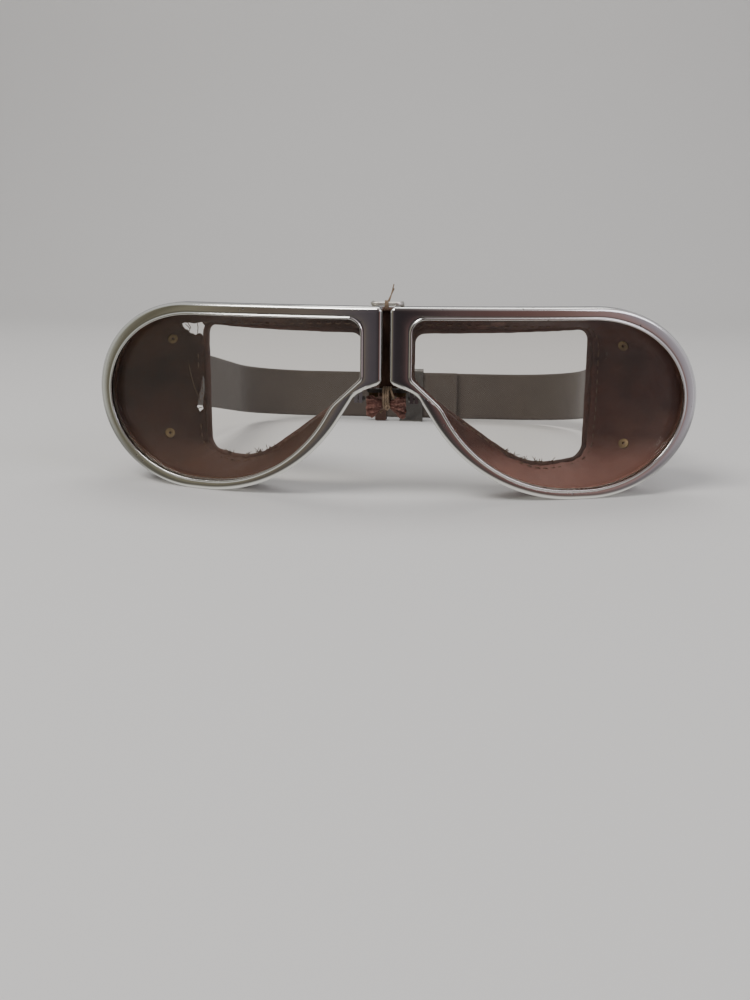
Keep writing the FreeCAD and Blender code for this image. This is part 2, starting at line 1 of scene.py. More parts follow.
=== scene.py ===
# Looks for a pair of old flying and driving goggles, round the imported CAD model. Metal, glass and
# rubber get materials, the rims a polished face, and leather, thread and webbing are rebuilt.
# Shapes are drawn for the left (+X, wearer's left) and mirrored, with wear of their own.
import cmath
import math
import random

import bmesh
import bpy
from mathutils import Matrix, Vector, noise


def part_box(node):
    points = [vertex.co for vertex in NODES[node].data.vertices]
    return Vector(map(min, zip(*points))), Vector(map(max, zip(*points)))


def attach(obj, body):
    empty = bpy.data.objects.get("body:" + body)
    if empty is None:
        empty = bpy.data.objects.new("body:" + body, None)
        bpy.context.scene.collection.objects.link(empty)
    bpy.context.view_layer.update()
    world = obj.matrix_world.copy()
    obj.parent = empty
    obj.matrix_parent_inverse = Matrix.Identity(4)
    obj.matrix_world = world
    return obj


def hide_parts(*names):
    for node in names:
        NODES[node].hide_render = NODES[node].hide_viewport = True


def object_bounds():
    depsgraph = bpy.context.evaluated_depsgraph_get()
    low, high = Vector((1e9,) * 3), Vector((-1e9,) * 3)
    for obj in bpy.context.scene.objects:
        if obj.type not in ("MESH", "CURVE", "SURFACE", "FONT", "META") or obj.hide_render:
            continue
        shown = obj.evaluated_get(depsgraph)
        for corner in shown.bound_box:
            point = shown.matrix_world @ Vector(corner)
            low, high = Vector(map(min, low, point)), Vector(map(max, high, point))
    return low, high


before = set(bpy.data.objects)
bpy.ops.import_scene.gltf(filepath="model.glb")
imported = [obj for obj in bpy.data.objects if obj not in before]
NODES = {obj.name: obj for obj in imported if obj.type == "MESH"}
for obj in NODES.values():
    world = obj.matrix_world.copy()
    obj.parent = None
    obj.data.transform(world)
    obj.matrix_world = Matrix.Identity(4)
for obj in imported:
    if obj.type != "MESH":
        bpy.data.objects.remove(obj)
cad_low, cad_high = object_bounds()
MM = 0.001
SIDES = {"left": 1, "right": -1}

# ---- sizes, in millimetres
# The curve of the lenses, and the upright cylinder that stands for the face.
CURVE_R, SWEEP = 286.0, math.radians(5.0)
CURVE_X, CURVE_Y = -CURVE_R * math.sin(SWEEP), CURVE_R * math.cos(SWEEP)
FACE_R, FACE_Y = 80.0, 12.5
# Outlines: the rim's outer edge, the opening for the glass, and the cup's opening for the face.
OUTER_EDGE = dict(nasal=1.2, top=29.0, bottom=-29.0, end_x=62.0, end_rx=32.8,
                  low_x=58.0, low_r=51.5, nose_angle=58.0, under=(4.0, 5.6), under_angle=23.0,
                  fillets=(6.0, 2.2, 1.5))
OPENING = dict(nasal=7.5, top=25.4, bottom=-26.0, end_x=60.5, end_rx=30.2,
               low_x=57.0, low_r=44.5, nose_angle=60.0, under=(10.0, 5.8), under_angle=43.0,
               fillets=(12.0, 2.0, 4.0))
FACE_OPENING = dict(nasal=6.9, top=21.8, bottom=-21.8, end_x=57.0, end_rx=6.3, end_r=5.0,
                    low_x=52.0, low_r=27.7, nose_angle=37.0, under=(9.5, 3.6), under_angle=50.0,
                    fillets=(9.0, 4.0, 4.0))
# How many points each of the ten stretches of an outline gets.
STEPS = (36, 104, 8, 56, 24, 16, 12, 20, 28, 24)
FINE_STEPS = (72, 208, 16, 112, 48, 40, 24, 40, 56, 40)
SPLIT_X, SPLIT_GAP = 8.3, 0.3
CUP_FRONT, COLLAR, CUP_GROW, LEATHER = 4.95, 6.7, 0.05, 1.0
CUP_ROWS = 26
EDGE_R = 1.1
PIN_Y = 8.3
BRIDGE_TOP, BRIDGE_FRONT, WIRE_R = 29.85, 2.2, 0.6
LINK_TOP = 4.4
NOSE_Y, NOSE_Z, NOSE_HALF, NOSE_R = 4.7, -0.3, 5.75, 2.8
RING_REAR = Vector((77.3, 60.0, 0))
STRAP_CORNER, STRAP_BEND_R = Vector((69.0, 152.0, 0)), 30.0
STRAP_T, STRAP_W, STRAP_Z, LAYER_STEP, OVERLAP = 1.5, 20.0, 1.0, 1.9, 20.0
STRAP_TILT = math.asin(18.9 / 94.65)
SEWN = 16.0
RIB, PICK = 0.8, 1.0
TEAR_CUT = (28, 52)
STITCH, SEAM_IN = 3.0, 2.4
FRAY_R, LOOSE_R, STITCH_R, WEB_STITCH_R = 0.11, 0.15, 0.19, 0.17


# ---- outlines in the frame's plane
def corner_arc(before, corner, after, radius, count):
    """Points on the arc that rounds a corner. Points are complex: x + z j."""
    u = (before - corner) / abs(before - corner)
    w = (after - corner) / abs(after - corner)
    half = abs(cmath.phase(w / u)) / 2
    reach = radius / math.tan(half)
    centre = corner + (u + w) / abs(u + w) * radius / math.sin(half)
    a, b = corner + u * reach, corner + w * reach
    turn = cmath.phase((b - centre) / (a - centre))
    return [centre + (a - centre) * cmath.exp(1j * turn * i / count) for i in range(count + 1)]


def run(a, b, count):
    return [a + (b - a) * i / count for i in range(count)]


def crossing(p, p_slope, q, q_slope):
    x = (p.imag - q.imag + p_slope * p.real - q_slope * q.real) / (p_slope - q_slope)
    return complex(x, p.imag - p_slope * (x - p.real))


def outline(shape, grow=0.0, steps=STEPS):
    """The same ten stretches as the CAD outline, as one list of complex points."""
    nasal, top, bottom = shape["nasal"] - grow, shape["top"] + grow, shape["bottom"] - grow
    end_x, end_rx, low_x = shape["end_x"], shape["end_rx"] + grow, shape["low_x"]
    low_r, nose = shape["low_r"] + grow, math.radians(shape["nose_angle"])
    under = math.radians(shape["under_angle"])

    def on_low_arc(a):
        return complex(low_x - low_r * math.sin(a), bottom + low_r - low_r * math.cos(a))

    on_nose = on_low_arc(nose)
    on_under = complex(*shape["under"]) - grow * complex(math.sin(under), math.cos(under))
    nose_corner = crossing(on_nose, math.tan(nose), on_under, math.tan(under))
    nasal_corner = complex(nasal, on_under.imag - math.tan(under) * (nasal - on_under.real))
    top_corner = complex(nasal, top)
    r_nose, r_nasal, r_top = shape["fillets"]
    start, stop = complex(end_x, top), complex(end_x, bottom)
    nose_arc = corner_arc(on_nose, nose_corner, nasal_corner, r_nose, steps[5])
    least = 0.4
    nasal_arc = corner_arc(nose_corner, nasal_corner, top_corner, max(r_nasal + grow, least),
                           steps[7])
    top_arc = corner_arc(nasal_corner, top_corner, start, max(r_top + grow, least), steps[9])
    if "end_r" in shape:
        side = end_x + end_rx
        high, low = complex(side, top), complex(side, bottom)
        quarter = steps[1] // 4
        bend = corner_arc(start, high, low, shape["end_r"] + grow, quarter)
        back = corner_arc(high, low, stop, shape["end_r"] + grow, quarter)
        end = [start] + bend[:-1] + run(bend[-1], back[0], steps[1] - 2 * quarter - 1) + back[:-1]
    else:
        middle, half = (top + bottom) / 2, (top - bottom) / 2
        angles = [math.pi / 2 - math.pi * i / steps[1] for i in range(steps[1])]
        end = [complex(end_x + end_rx * math.cos(a), middle + half * math.sin(a)) for a in angles]
    points = run(top_arc[-1], start, steps[0]) + end
    points += run(stop, complex(low_x, bottom), steps[2])
    points += [on_low_arc(nose * i / steps[3]) for i in range(steps[3])]
    points += run(on_nose, nose_arc[0], steps[4]) + nose_arc[:-1]
    points += run(nose_arc[-1], nasal_arc[0], steps[6]) + nasal_arc[:-1]
    points += run(nasal_arc[-1], top_arc[0], steps[8]) + top_arc[:-1]
    return points


def lens_point(c, depth):
    """A point of the curved front, or of a surface at a depth behind it."""
    y = CURVE_Y - math.sqrt((CURVE_R - depth) ** 2 - (c.real - CURVE_X) ** 2)
    return Vector((c.real, y, c.imag))


def face_point(c, off):
    """A point that stands off the wearer's face, which is an upright cylinder."""
    y = FACE_Y + FACE_R - math.sqrt((FACE_R + off) ** 2 - c.real ** 2)
    return Vector((c.real, y, c.imag))


def cup_wall():
    """Front, collar and rear loops of the cup leather's middle, and its outward normals."""
    grow = CUP_GROW + LEATHER / 2
    front = [lens_point(c, CUP_FRONT) for c in outline(OPENING, grow)]
    collar = [lens_point(c, COLLAR) for c in outline(OPENING, grow)]
    hub = [face_point(c, EDGE_R) for c in outline(FACE_OPENING)]
    rear, normals = [], []
    for i, (c, h) in enumerate(zip(collar, hub)):
        along = (hub[(i + 1) % len(hub)] - hub[i - 1]).normalized()
        away = c - h
        away = (away - along * away.dot(along)).normalized()
        rear.append(h + away * EDGE_R * 0.6)
        normals.append(along.cross(rear[i] - c).normalized())
    return front, collar, rear, normals, hub


# ---- mesh helpers
def make_mesh(name, points, faces, material, side=1, uvs=None):
    """An object from points in millimetres. side -1 mirrors it across the middle."""
    mesh = bpy.data.meshes.new(name)
    verts = [(side * p[0] * MM, p[1] * MM, p[2] * MM) for p in points]
    if side < 0:
        faces = [tuple(reversed(f)) for f in faces]
    mesh.from_pydata(verts, [], faces)
    mesh.polygons.foreach_set("use_smooth", [True] * len(mesh.polygons))
    if uvs:
        layer = mesh.uv_layers.new(name="UVMap")
        for loop in mesh.loops:
            layer.data[loop.index].uv = uvs[loop.vertex_index]
    mesh.materials.append(material)
    mesh.update()
    obj = bpy.data.objects.new(name, mesh)
    bpy.context.scene.collection.objects.link(obj)
    return obj


def ring_faces(count, rings, close=False):
    """Quads between neighbouring rings of equal length."""
    faces = []
    for r in range(rings if close else rings - 1):
        a, b = r * count, ((r + 1) % rings) * count
        for i in range(count):
            j = (i + 1) % count
            faces.append((a + i, a + j, b + j, b + i))
    return faces


def frames_along(path, closed=False):
    """A tangent and two steady cross directions at each point of a path."""
    count = len(path)
    tangents = []
    for i in range(count):
        ahead = path[(i + 1) % count] if closed or i < count - 1 else path[i]
        behind = path[i - 1] if closed or i > 0 else path[i]
        tangents.append((ahead - behind).normalized())
    first = Vector((0, 0, 1)) if abs(tangents[0].z) < 0.9 else Vector((0, 1, 0))
    u = (first - tangents[0] * first.dot(tangents[0])).normalized()
    result = []
    for t in tangents:
        u = (u - t * u.dot(t)).normalized()
        result.append((t, u, t.cross(u)))
    return result


def tube(name, path, radius, material, side=1, closed=False, sides=12, shape=None):
    """A tube along a path. shape(i, angle) scales the radius."""
    points = []
    for i, (p, (_, u, v)) in enumerate(zip(path, frames_along(path, closed))):
        for k in range(sides):
            a = 2 * math.pi * k / sides
            r = radius * (shape(i, a) if shape else 1.0)
            points.append(p + (u * math.cos(a) + v * math.sin(a)) * r)
    faces = ring_faces(sides, len(path), closed)
    if not closed:
        faces.append(tuple(reversed(range(sides))))
        faces.append(tuple(range(len(points) - sides, len(points))))
    return make_mesh(name, points, faces, material, side)


def join(name, parts):
    """Several mesh objects as one."""
    with bpy.context.temp_override(active_object=parts[0], selected_editable_objects=parts):
        bpy.ops.object.join()
    parts[0].name = name
    parts[0].data.name = name
    return parts[0]


def resample(path, step, closed=False):
    """Points at even steps along a path."""
    source = list(path) + ([path[0]] if closed else [])
    lengths = [0.0]
    for a, b in zip(source, source[1:]):
        lengths.append(lengths[-1] + (b - a).length)
    count = max(2, round(lengths[-1] / step))
    result, k = [], 0
    for i in range(count if closed else count + 1):
        at = lengths[-1] * i / count
        while k < len(source) - 2 and lengths[k + 1] < at:
            k += 1
        span = lengths[k + 1] - lengths[k]
        result.append(source[k].lerp(source[k + 1], (at - lengths[k]) / span if span else 0))
    return result


def coat(mesh, material):
    mesh.materials.clear()
    mesh.materials.append(material)


def apply_modifiers(obj):
    """Replaces the object's mesh by what its modifiers make."""
    graph = bpy.context.evaluated_depsgraph_get()
    mesh = bpy.data.meshes.new_from_object(obj.evaluated_get(graph))
    obj.modifiers.clear()
    obj.data = mesh
    return obj


def soft_copy(name, node, voxel, material, wobble=0.0, seed=0.0):
    """A rounded leather or fabric copy of a plain CAD solid."""
    obj = bpy.data.objects.new(name, NODES[node].data.copy())
    bpy.context.scene.collection.objects.link(obj)
    weld = obj.modifiers.new("weld", "WELD")
    weld.merge_threshold = 0.00001
    remesh = obj.modifiers.new("remesh", "REMESH")
    remesh.mode = "VOXEL"
    remesh.voxel_size = voxel * MM
    smooth = obj.modifiers.new("smooth", "SMOOTH")
    smooth.iterations = 4
    smooth.factor = 0.5
    apply_modifiers(obj)
    mesh = obj.data
    moved = []
    for v in mesh.vertices:
        n = noise.noise(v.co * 160 + Vector((seed, 0, 0))) + 0.4 * noise.noise(v.co * 500)
        moved.extend(v.co + v.normal * n * wobble * MM)
    mesh.vertices.foreach_set("co", moved)
    mesh.update()
    mesh.polygons.foreach_set("use_smooth", [True] * len(mesh.polygons))
    coat(mesh, material)
    return obj


# ---- materials
class Nodes:
    """A small builder for the node tree of a material or of the world."""

    def __init__(self, name, world=None):
        self.material = world or bpy.data.materials.new(name)
        self.material.use_nodes = True
        self.tree = self.material.node_tree
        self.bsdf = self.tree.nodes.get("Principled BSDF")

    def add(self, kind, inputs=None, **settings):
        node = self.tree.nodes.new(kind)
        for key, value in settings.items():
            setattr(node, key, value)
        for key, value in (inputs or {}).items():
            self.put(node.inputs[key], value)
        return node

    def put(self, socket, value):
        if isinstance(value, bpy.types.NodeSocket):
            self.tree.links.new(value, socket)
        else:
            socket.default_value = value

    def coords(self, kind="Object", scale=(1, 1, 1)):
        source = self.add("ShaderNodeTexCoord").outputs[kind]
        return self.add("ShaderNodeMapping", {"Vector": source, "Scale": scale}).outputs[0]

    def noise(self, vector, scale, detail=4.0, rough=0.55, distort=0.0):
        inputs = {"Vector": vector, "Scale": scale, "Detail": detail, "Roughness": rough,
                  "Distortion": distort}
        return self.add("ShaderNodeTexNoise", inputs).outputs[0]

    def voronoi(self, vector, scale, feature="F1", output="Distance"):
        return self.add("ShaderNodeTexVoronoi", {"Vector": vector, "Scale": scale},
                        feature=feature).outputs[output]

    def ramp(self, value, stops):
        node = self.add("ShaderNodeValToRGB", {"Fac": value})
        while len(node.color_ramp.elements) < len(stops):
            node.color_ramp.elements.new(0.5)
        for element, (at, colour) in zip(node.color_ramp.elements, stops):
            element.position = at
            element.color = colour if len(colour) == 4 else (*colour, 1)
        return node.outputs[0]

    def grey(self, value, stops):
        return self.ramp(value, [(at, (v, v, v)) for at, v in stops])

    def mix(self, fac, a, b, blend="MIX"):
        node = self.add("ShaderNodeMix", data_type="RGBA", blend_type=blend)
        self.put(node.inputs[0], fac)
        self.put(node.inputs[6], a if isinstance(a, bpy.types.NodeSocket) else (*a, 1))
        self.put(node.inputs[7], b if isinstance(b, bpy.types.NodeSocket) else (*b, 1))
        return node.outputs[2]

    def math(self, op, a, b=0.0):
        node = self.add("ShaderNodeMath", operation=op)
        self.put(node.inputs[0], a)
        self.put(node.inputs[1], b)
        return node.outputs[0]

    def times(self, a, b):
        return self.math("MULTIPLY", a, b)

    def plus(self, a, b):
        return self.math("ADD", a, b)

    def bump(self, height, strength, distance, under=None):
        inputs = {"Height": height, "Strength": strength, "Distance": distance}
        if under is not None:
            inputs["Normal"] = under
        return self.add("ShaderNodeBump", inputs).outputs[0]

    def finish(self, **inputs):
        for key, value in inputs.items():
            name = key.replace("_", " ")
            self.put(self.bsdf.inputs[name], value)
        return self.material


def chrome():
    n = Nodes("rim_chrome")
    at = n.coords()
    patches = n.noise(at, 55, 5)
    pits = n.voronoi(at, 520)
    rare = n.grey(n.noise(at, 90, 2), [(0.60, 0.0), (0.70, 1.0)])
    spot = n.times(n.grey(pits, [(0.10, 1.0), (0.20, 0.0)]), rare)
    scratches = n.noise(n.coords(scale=(1, 1, 14)), 900, 2)
    colour = n.mix(spot, n.mix(patches, (0.66, 0.66, 0.63), (0.80, 0.80, 0.78)), (0.10, 0.08, 0.06))
    rough = n.plus(n.grey(patches, [(0.3, 0.07), (0.75, 0.20)]), n.times(spot, 0.4))
    normal = n.bump(scratches, 0.06, 0.0001)
    normal = n.bump(n.math("SUBTRACT", 1.0, spot), 0.4, 0.0001, normal)
    return n.finish(Base_Color=colour, Metallic=1.0, Roughness=rough, Normal=normal)


def worn_metal(name, light, dark, rough):
    n = Nodes(name)
    at = n.coords()
    stain = n.noise(at, 240, 6, 0.65)
    fine = n.noise(at, 2200, 3)
    edge = n.grey(n.add("ShaderNodeNewGeometry").outputs["Pointiness"], [(0.48, 0.0), (0.56, 1.0)])
    colour = n.mix(n.grey(stain, [(0.42, 0.0), (0.66, 1.0)]), light, dark)
    colour = n.mix(n.times(edge, 0.6), colour, tuple(min(1.0, c * 1.25) for c in light))
    value = n.grey(stain, [(0.35, rough), (0.7, min(1.0, rough + 0.3))])
    return n.finish(Base_Color=colour, Metallic=1.0, Roughness=value,
                    Normal=n.bump(fine, 0.12, 0.0001))


def leather(name, base, dark, worn, crack=0.5, rough=0.55, painted_light_below=None):
    """Aged leather: pebbled grain, creases, cracks with dry edges, and rubbed high places.
    With a lower-wall colour given, the low walls of a cup get painted light, paler towards the
    bottom, and the rest gets painted shade."""
    n = Nodes(name)
    at = n.coords()
    warp = n.mix(0.08, at, n.add("ShaderNodeTexNoise", {"Vector": at, "Scale": 150.0}).outputs[1])
    tone = n.noise(at, 70, 6, 0.6)
    grain = n.noise(warp, 1900, 3, 0.6)
    creases = n.voronoi(warp, 210, "DISTANCE_TO_EDGE")
    fine_creases = n.voronoi(warp, 620, "DISTANCE_TO_EDGE")
    line = n.grey(creases, [(0.0, 1.0), (0.035, 0.0)])
    fine_line = n.grey(fine_creases, [(0.0, 1.0), (0.09, 0.0)])
    patch = n.grey(n.noise(at, 45, 3), [(0.45, 0.0), (0.68, 1.0)])
    cracks = n.times(line, n.times(patch, crack))
    point = n.grey(n.add("ShaderNodeNewGeometry").outputs["Pointiness"], [(0.49, 0.0), (0.60, 1.0)])
    colour = n.mix(n.grey(tone, [(0.30, 0.0), (0.72, 1.0)]), dark, base)
    colour = n.mix(n.times(patch, 0.35), colour, worn)
    colour = n.mix(n.times(point, 0.55), colour, worn)
    # Painted light and shade by height: the low walls are painted pale as if lit from above, and
    # the walls above are multiplied darker as painted shade.
    if painted_light_below:
        height = n.add("ShaderNodeSeparateXYZ", {"Vector": at}).outputs[2]
        height = n.plus(height, n.times(n.math("SUBTRACT", tone, 0.5), 0.012))
        painted_light_mask = n.grey(n.times(height, -25.0), [(0.30, 0.0), (0.50, 1.0)])
        colour = n.mix(painted_light_mask, n.mix(1.0, colour, (0.80, 0.78, 0.75), "MULTIPLY"),
                       n.mix(0.4, colour, painted_light_below))
    colour = n.mix(cracks, colour, tuple(c * 0.35 for c in dark))
    colour = n.mix(n.times(fine_line, 0.18), colour, dark)
    value = n.grey(tone, [(0.3, rough - 0.10), (0.75, rough + 0.18)])
    normal = n.bump(grain, 0.25, 0.00010)
    sunken = n.plus(n.times(fine_line, 0.4), cracks)
    normal = n.bump(n.math("SUBTRACT", 1.0, sunken), 0.5, 0.00025, normal)
    normal = n.bump(n.noise(at, 260, 5, 0.6), 0.35, 0.0006, normal)
    return n.finish(Base_Color=colour, Roughness=value, Normal=normal, Specular_IOR_Level=0.26)


def lens_glass():
    """Clear glass with a faint warm tint, finger haze, and light that passes straight through."""
    n = Nodes("lens_glass")
    at = n.coords()
    haze = n.noise(at, 60, 6, 0.6)
    dust = n.grey(n.voronoi(at, 260), [(0.035, 1.0), (0.06, 0.0)])
    cell = n.voronoi(at, 260, output="Color")
    chosen = n.add("ShaderNodeSeparateColor", {"Color": cell}).outputs[0]
    speck = n.times(dust, n.grey(chosen, [(0.90, 0.0), (0.92, 1.0)]))
    n.finish(Base_Color=(0.965, 0.945, 0.915, 1), Transmission_Weight=1.0, IOR=1.28,
             Roughness=n.grey(haze, [(0.40, 0.0), (0.8, 0.03)]))
    clear = n.add("ShaderNodeBsdfTransparent", {"Color": (0.93, 0.91, 0.88, 1)})
    dirt = n.add("ShaderNodeBsdfDiffuse", {"Color": (0.62, 0.58, 0.52, 1)})
    path = n.add("ShaderNodeLightPath")
    straight = n.math("MAXIMUM", path.outputs["Is Shadow Ray"], path.outputs["Is Diffuse Ray"])
    film = n.add("ShaderNodeMixShader", {"Fac": n.plus(n.times(haze, 0.005), n.times(speck, 0.35))})
    out = n.tree.nodes["Material Output"]
    n.tree.links.new(n.bsdf.outputs[0], film.inputs[1])
    n.tree.links.new(dirt.outputs[0], film.inputs[2])
    both = n.add("ShaderNodeMixShader", {"Fac": straight})
    n.tree.links.new(film.outputs[0], both.inputs[1])
    n.tree.links.new(clear.outputs[0], both.inputs[2])
    n.tree.links.new(both.outputs[0], out.inputs["Surface"])
    return n.material


def rubber():
    n = Nodes("gasket_rubber")
    tone = n.noise(n.coords(), 300, 4)
    return n.finish(Base_Color=n.mix(tone, (0.02, 0.018, 0.016), (0.07, 0.062, 0.055)),
                    Roughness=0.75, Normal=n.bump(tone, 0.2, 0.0002))


def webbing():
    """Woven elastic: lengthwise ribs, cross picks, stains, and fuzz."""
    n = Nodes("webbing")
    uv = n.add("ShaderNodeTexCoord").outputs["UV"]
    split = n.add("ShaderNodeSeparateXYZ", {"Vector": uv})
    along, across = split.outputs[0], split.outputs[1]
    rib = n.math("SINE", n.times(across, 2 * math.pi / (RIB * MM)))
    shift = n.times(n.math("SIGN", rib), 0.25 * MM)
    pick = n.times(n.plus(along, shift), 2 * math.pi / (PICK * MM))
    pick = n.times(n.math("SINE", pick), 0.6)
    weave = n.times(n.plus(n.math("ABSOLUTE", rib), pick), 0.6)
    stain = n.noise(n.coords(), 60, 5)
    fuzz = n.noise(n.coords(), 3500, 2)
    colour = n.mix(n.grey(weave, [(0.1, 0.0), (0.9, 1.0)]), (0.035, 0.028, 0.023),
                   (0.095, 0.076, 0.062))
    colour = n.mix(n.times(stain, 0.45), colour, (0.14, 0.11, 0.085))
    normal = n.bump(weave, 0.35, 0.00030)
    normal = n.bump(fuzz, 0.25, 0.0002, normal)
    return n.finish(Base_Color=colour, Roughness=0.9, Normal=normal, Sheen_Weight=0.25)


def twine(name, light, dark):
    n = Nodes(name)
    at = n.coords()
    fibres = n.noise(at, 4200, 3, 0.7)
    dirt = n.noise(at, 420, 4)
    colour = n.mix(n.grey(fibres, [(0.35, 0.0), (0.65, 1.0)]), dark, light)
    colour = n.mix(n.grey(dirt, [(0.5, 0.0), (0.75, 0.7)]), colour, tuple(c * 0.4 for c in dark))
    return n.finish(Base_Color=colour, Roughness=0.8, Normal=n.bump(fibres, 0.5, 0.00015))


CHROME = chrome()
NICKEL = worn_metal("nickel", (0.62, 0.60, 0.56), (0.24, 0.21, 0.17), 0.24)
DARK_STEEL = worn_metal("dark_steel", (0.17, 0.165, 0.155), (0.05, 0.042, 0.035), 0.40)
STEEL = worn_metal("steel", (0.52, 0.52, 0.51), (0.20, 0.17, 0.14), 0.30)
BRASS = worn_metal("rivet_brass", (0.20, 0.145, 0.08), (0.035, 0.024, 0.015), 0.48)
GLASS = lens_glass()
RUBBER = rubber()
# Both cups paint light on their low walls. The right cup's leather is a darker copy, painted shade
# for a cup that lies in shadow.
CUP_LEATHER = {"left": leather("cup_leather", (0.115, 0.045, 0.034), (0.035, 0.015, 0.012),
                               (0.20, 0.10, 0.08), 0.6, painted_light_below=(0.46, 0.235, 0.195)),
               "right": leather("cup_leather_painted_shade", (0.080, 0.034, 0.022), (0.022, 0.010, 0.007),
                                (0.15, 0.08, 0.052), 0.6, painted_light_below=(0.072, 0.033, 0.022))}
EDGE_LEATHER = leather("edge_leather", (0.075, 0.034, 0.026), (0.025, 0.012, 0.010),
                       (0.19, 0.11, 0.085))
TAB_LEATHER = leather("tab_leather", (0.11, 0.050, 0.034), (0.04, 0.018, 0.013),
                      (0.26, 0.15, 0.10), 0.7)
NOSE_LEATHER = leather("nose_leather", (0.16, 0.062, 0.048), (0.045, 0.018, 0.014),
                       (0.34, 0.18, 0.14), 0.8, 0.6)
KEEPER_LEATHER = leather("keeper_leather", (0.075, 0.04, 0.03), (0.03, 0.016, 0.012),
                         (0.18, 0.11, 0.08))
WEBBING = webbing()
THREAD = twine("thread", (0.34, 0.245, 0.16), (0.12, 0.078, 0.048))
DARK_THREAD = twine("dark_thread", (0.20, 0.13, 0.085), (0.06, 0.036, 0.025))


# ---- polished rim faces
# A closed section through the rim's face: how far out from an edge (along the crown, the share of
# the way from the outer edge to the bead), then how deep behind the front.
RIM_OUTER = ((0.04, 2.3), (0.05, 1.7), (0.05, 1.15), (-0.02, 0.71), (-0.22, 0.36), (-0.52, 0.10),
             (-0.84, -0.03), (-1.15, -0.075))
RIM_CROWN = ((0.14, -0.095), (0.32, -0.11), (0.52, -0.115), (0.72, -0.10), (0.90, -0.06))
RIM_BEAD = ((0.68, 0.00), (0.58, -0.17), (0.47, -0.28), (0.31, -0.33), (0.14, -0.32),
            (-0.01, -0.26), (-0.05, -0.05), (-0.05, 0.70))
RIM_BURIED = ((0.20, 0.55), (-0.6, 0.62), (-0.6, 2.3))


def rim_face(side_name):
    """The crowned, polished face of a rim: rounded outside, beaded round the glass, and split."""
    outer = {g: outline(OUTER_EDGE, g, FINE_STEPS) for g, _ in RIM_OUTER + RIM_BURIED[1:]}
    inner = {g: outline(OPENING, g, FINE_STEPS) for g, _ in RIM_BEAD + RIM_BURIED[:1]}
    start, stop = outer[RIM_OUTER[-1][0]], inner[RIM_BEAD[0][0]]
    rings = [[lens_point(c, d) for c in outer[g]] for g, d in RIM_OUTER]
    rings += [[lens_point(a + (b - a) * f, d) for a, b in zip(start, stop)] for f, d in RIM_CROWN]
    rings += [[lens_point(c, d) for c in inner[g]] for g, d in RIM_BEAD + RIM_BURIED[:1]]
    rings += [[lens_point(c, d) for c in outer[g]] for g, d in RIM_BURIED[1:]]
    points = [p for ring in rings for p in ring]
    faces = ring_faces(len(start), len(rings), close=True)
    obj = make_mesh(side_name + "_rim_face", points, faces, CHROME, SIDES[side_name])
    flip_if_inside_out(obj)
    slit = box_mesh("slit", (SPLIT_X - SPLIT_GAP / 2, -2, -3), (SPLIT_X + SPLIT_GAP / 2, 4, 9),
                    SIDES[side_name])
    cut = obj.modifiers.new("slit", "BOOLEAN")
    cut.object = slit
    cut.operation = "DIFFERENCE"
    apply_modifiers(obj)
    bpy.data.objects.remove(slit)
    coat(obj.data, CHROME)
    return obj


def box_mesh(name, low, high, side):
    points = [Vector((x, y, z)) for x in (low[0], high[0]) for y in (low[1], high[1])
              for z in (low[2], high[2])]
    faces = [(0, 1, 3, 2), (4, 6, 7, 5), (0, 4, 5, 1), (2, 3, 7, 6), (0, 2, 6, 4), (1, 5, 7, 3)]
    obj = make_mesh(name, points, faces, CHROME, side)
    flip_if_inside_out(obj)
    return obj


# ---- eye cups
def cup(side_name):
    """One leather cup, as a sheet with buckles, gathers and, on the right, two old tears."""
    side = SIDES[side_name]
    seed = Vector((0, 0, 40.0 * side))
    front, collar, rear, normals, _ = cup_wall()
    count = len(front)
    points = list(front)
    tears = [ragged(tear) for tear in TEARS] if side < 0 else []
    for r in range(CUP_ROWS):
        v = r / (CUP_ROWS - 1)
        for i in range(count):
            p = collar[i].lerp(rear[i], v)
            slack = (rear[i] - collar[i]).length
            free = 1.0 - smooth_step(p.x, 64.0, 70.0) * 0.85
            buckle = noise.noise(p * 0.075 + seed) * min(1.3, slack * 0.07)
            pull = noise.noise(Vector((i * 0.16, v * 0.8, 3.0 * side))) * min(0.45, slack * 0.03)
            swell = math.sin(math.pi * v)
            lift = free * (buckle * swell + pull * smooth_step(v, 0.25, 1.0))
            if tears and p.x > 58:
                lift += curl(p, tears)
            points.append(p + normals[i] * lift)
    faces = ring_faces(count, CUP_ROWS + 1)
    obj = make_mesh(side_name + "_cup_leather", points, faces, CUP_LEATHER[side_name], side)
    thick = obj.modifiers.new("thick", "SOLIDIFY")
    thick.thickness = LEATHER * MM
    thick.offset = 0
    apply_modifiers(obj)
    flip_if_inside_out(obj)
    tear_out(obj, tears)
    coat(obj.data, CUP_LEATHER[side_name])
    return obj


def smooth_step(x, low, high):
    t = min(1.0, max(0.0, (x - low) / (high - low)))
    return t * t * (3 - 2 * t)


# The outline of each tear on the temple wall of the right cup, as (x, z).
TEARS = (((69.3, 20.9), (68.6, 21.3), (66.2, 21.4), (65.6, 20.9), (64.5, 21.3), (63.0, 21.4),
          (63.0, 14.6), (63.7, 13.6), (64.3, 15.0), (64.7, 17.0), (65.6, 17.4), (66.4, 16.9),
          (67.7, 17.5), (68.7, 18.9), (69.5, 19.8)),
         ((64.7, 3.9), (65.5, 0.2), (66.2, -4.0), (67.0, -7.2), (66.2, -9.2), (65.0, -7.8),
          (64.8, -5.0), (64.4, -2.0), (64.3, 1.0)))


def ragged(tear):
    """A tear's outline with a torn edge."""
    path = resample([Vector((x, 0, z)) for x, z in tear], 0.3, closed=True)
    return [p + Vector((noise.noise(p * 1.7), 0, noise.noise(p * 1.7 + Vector((9, 0, 0))))) * 0.24
            for p in path]


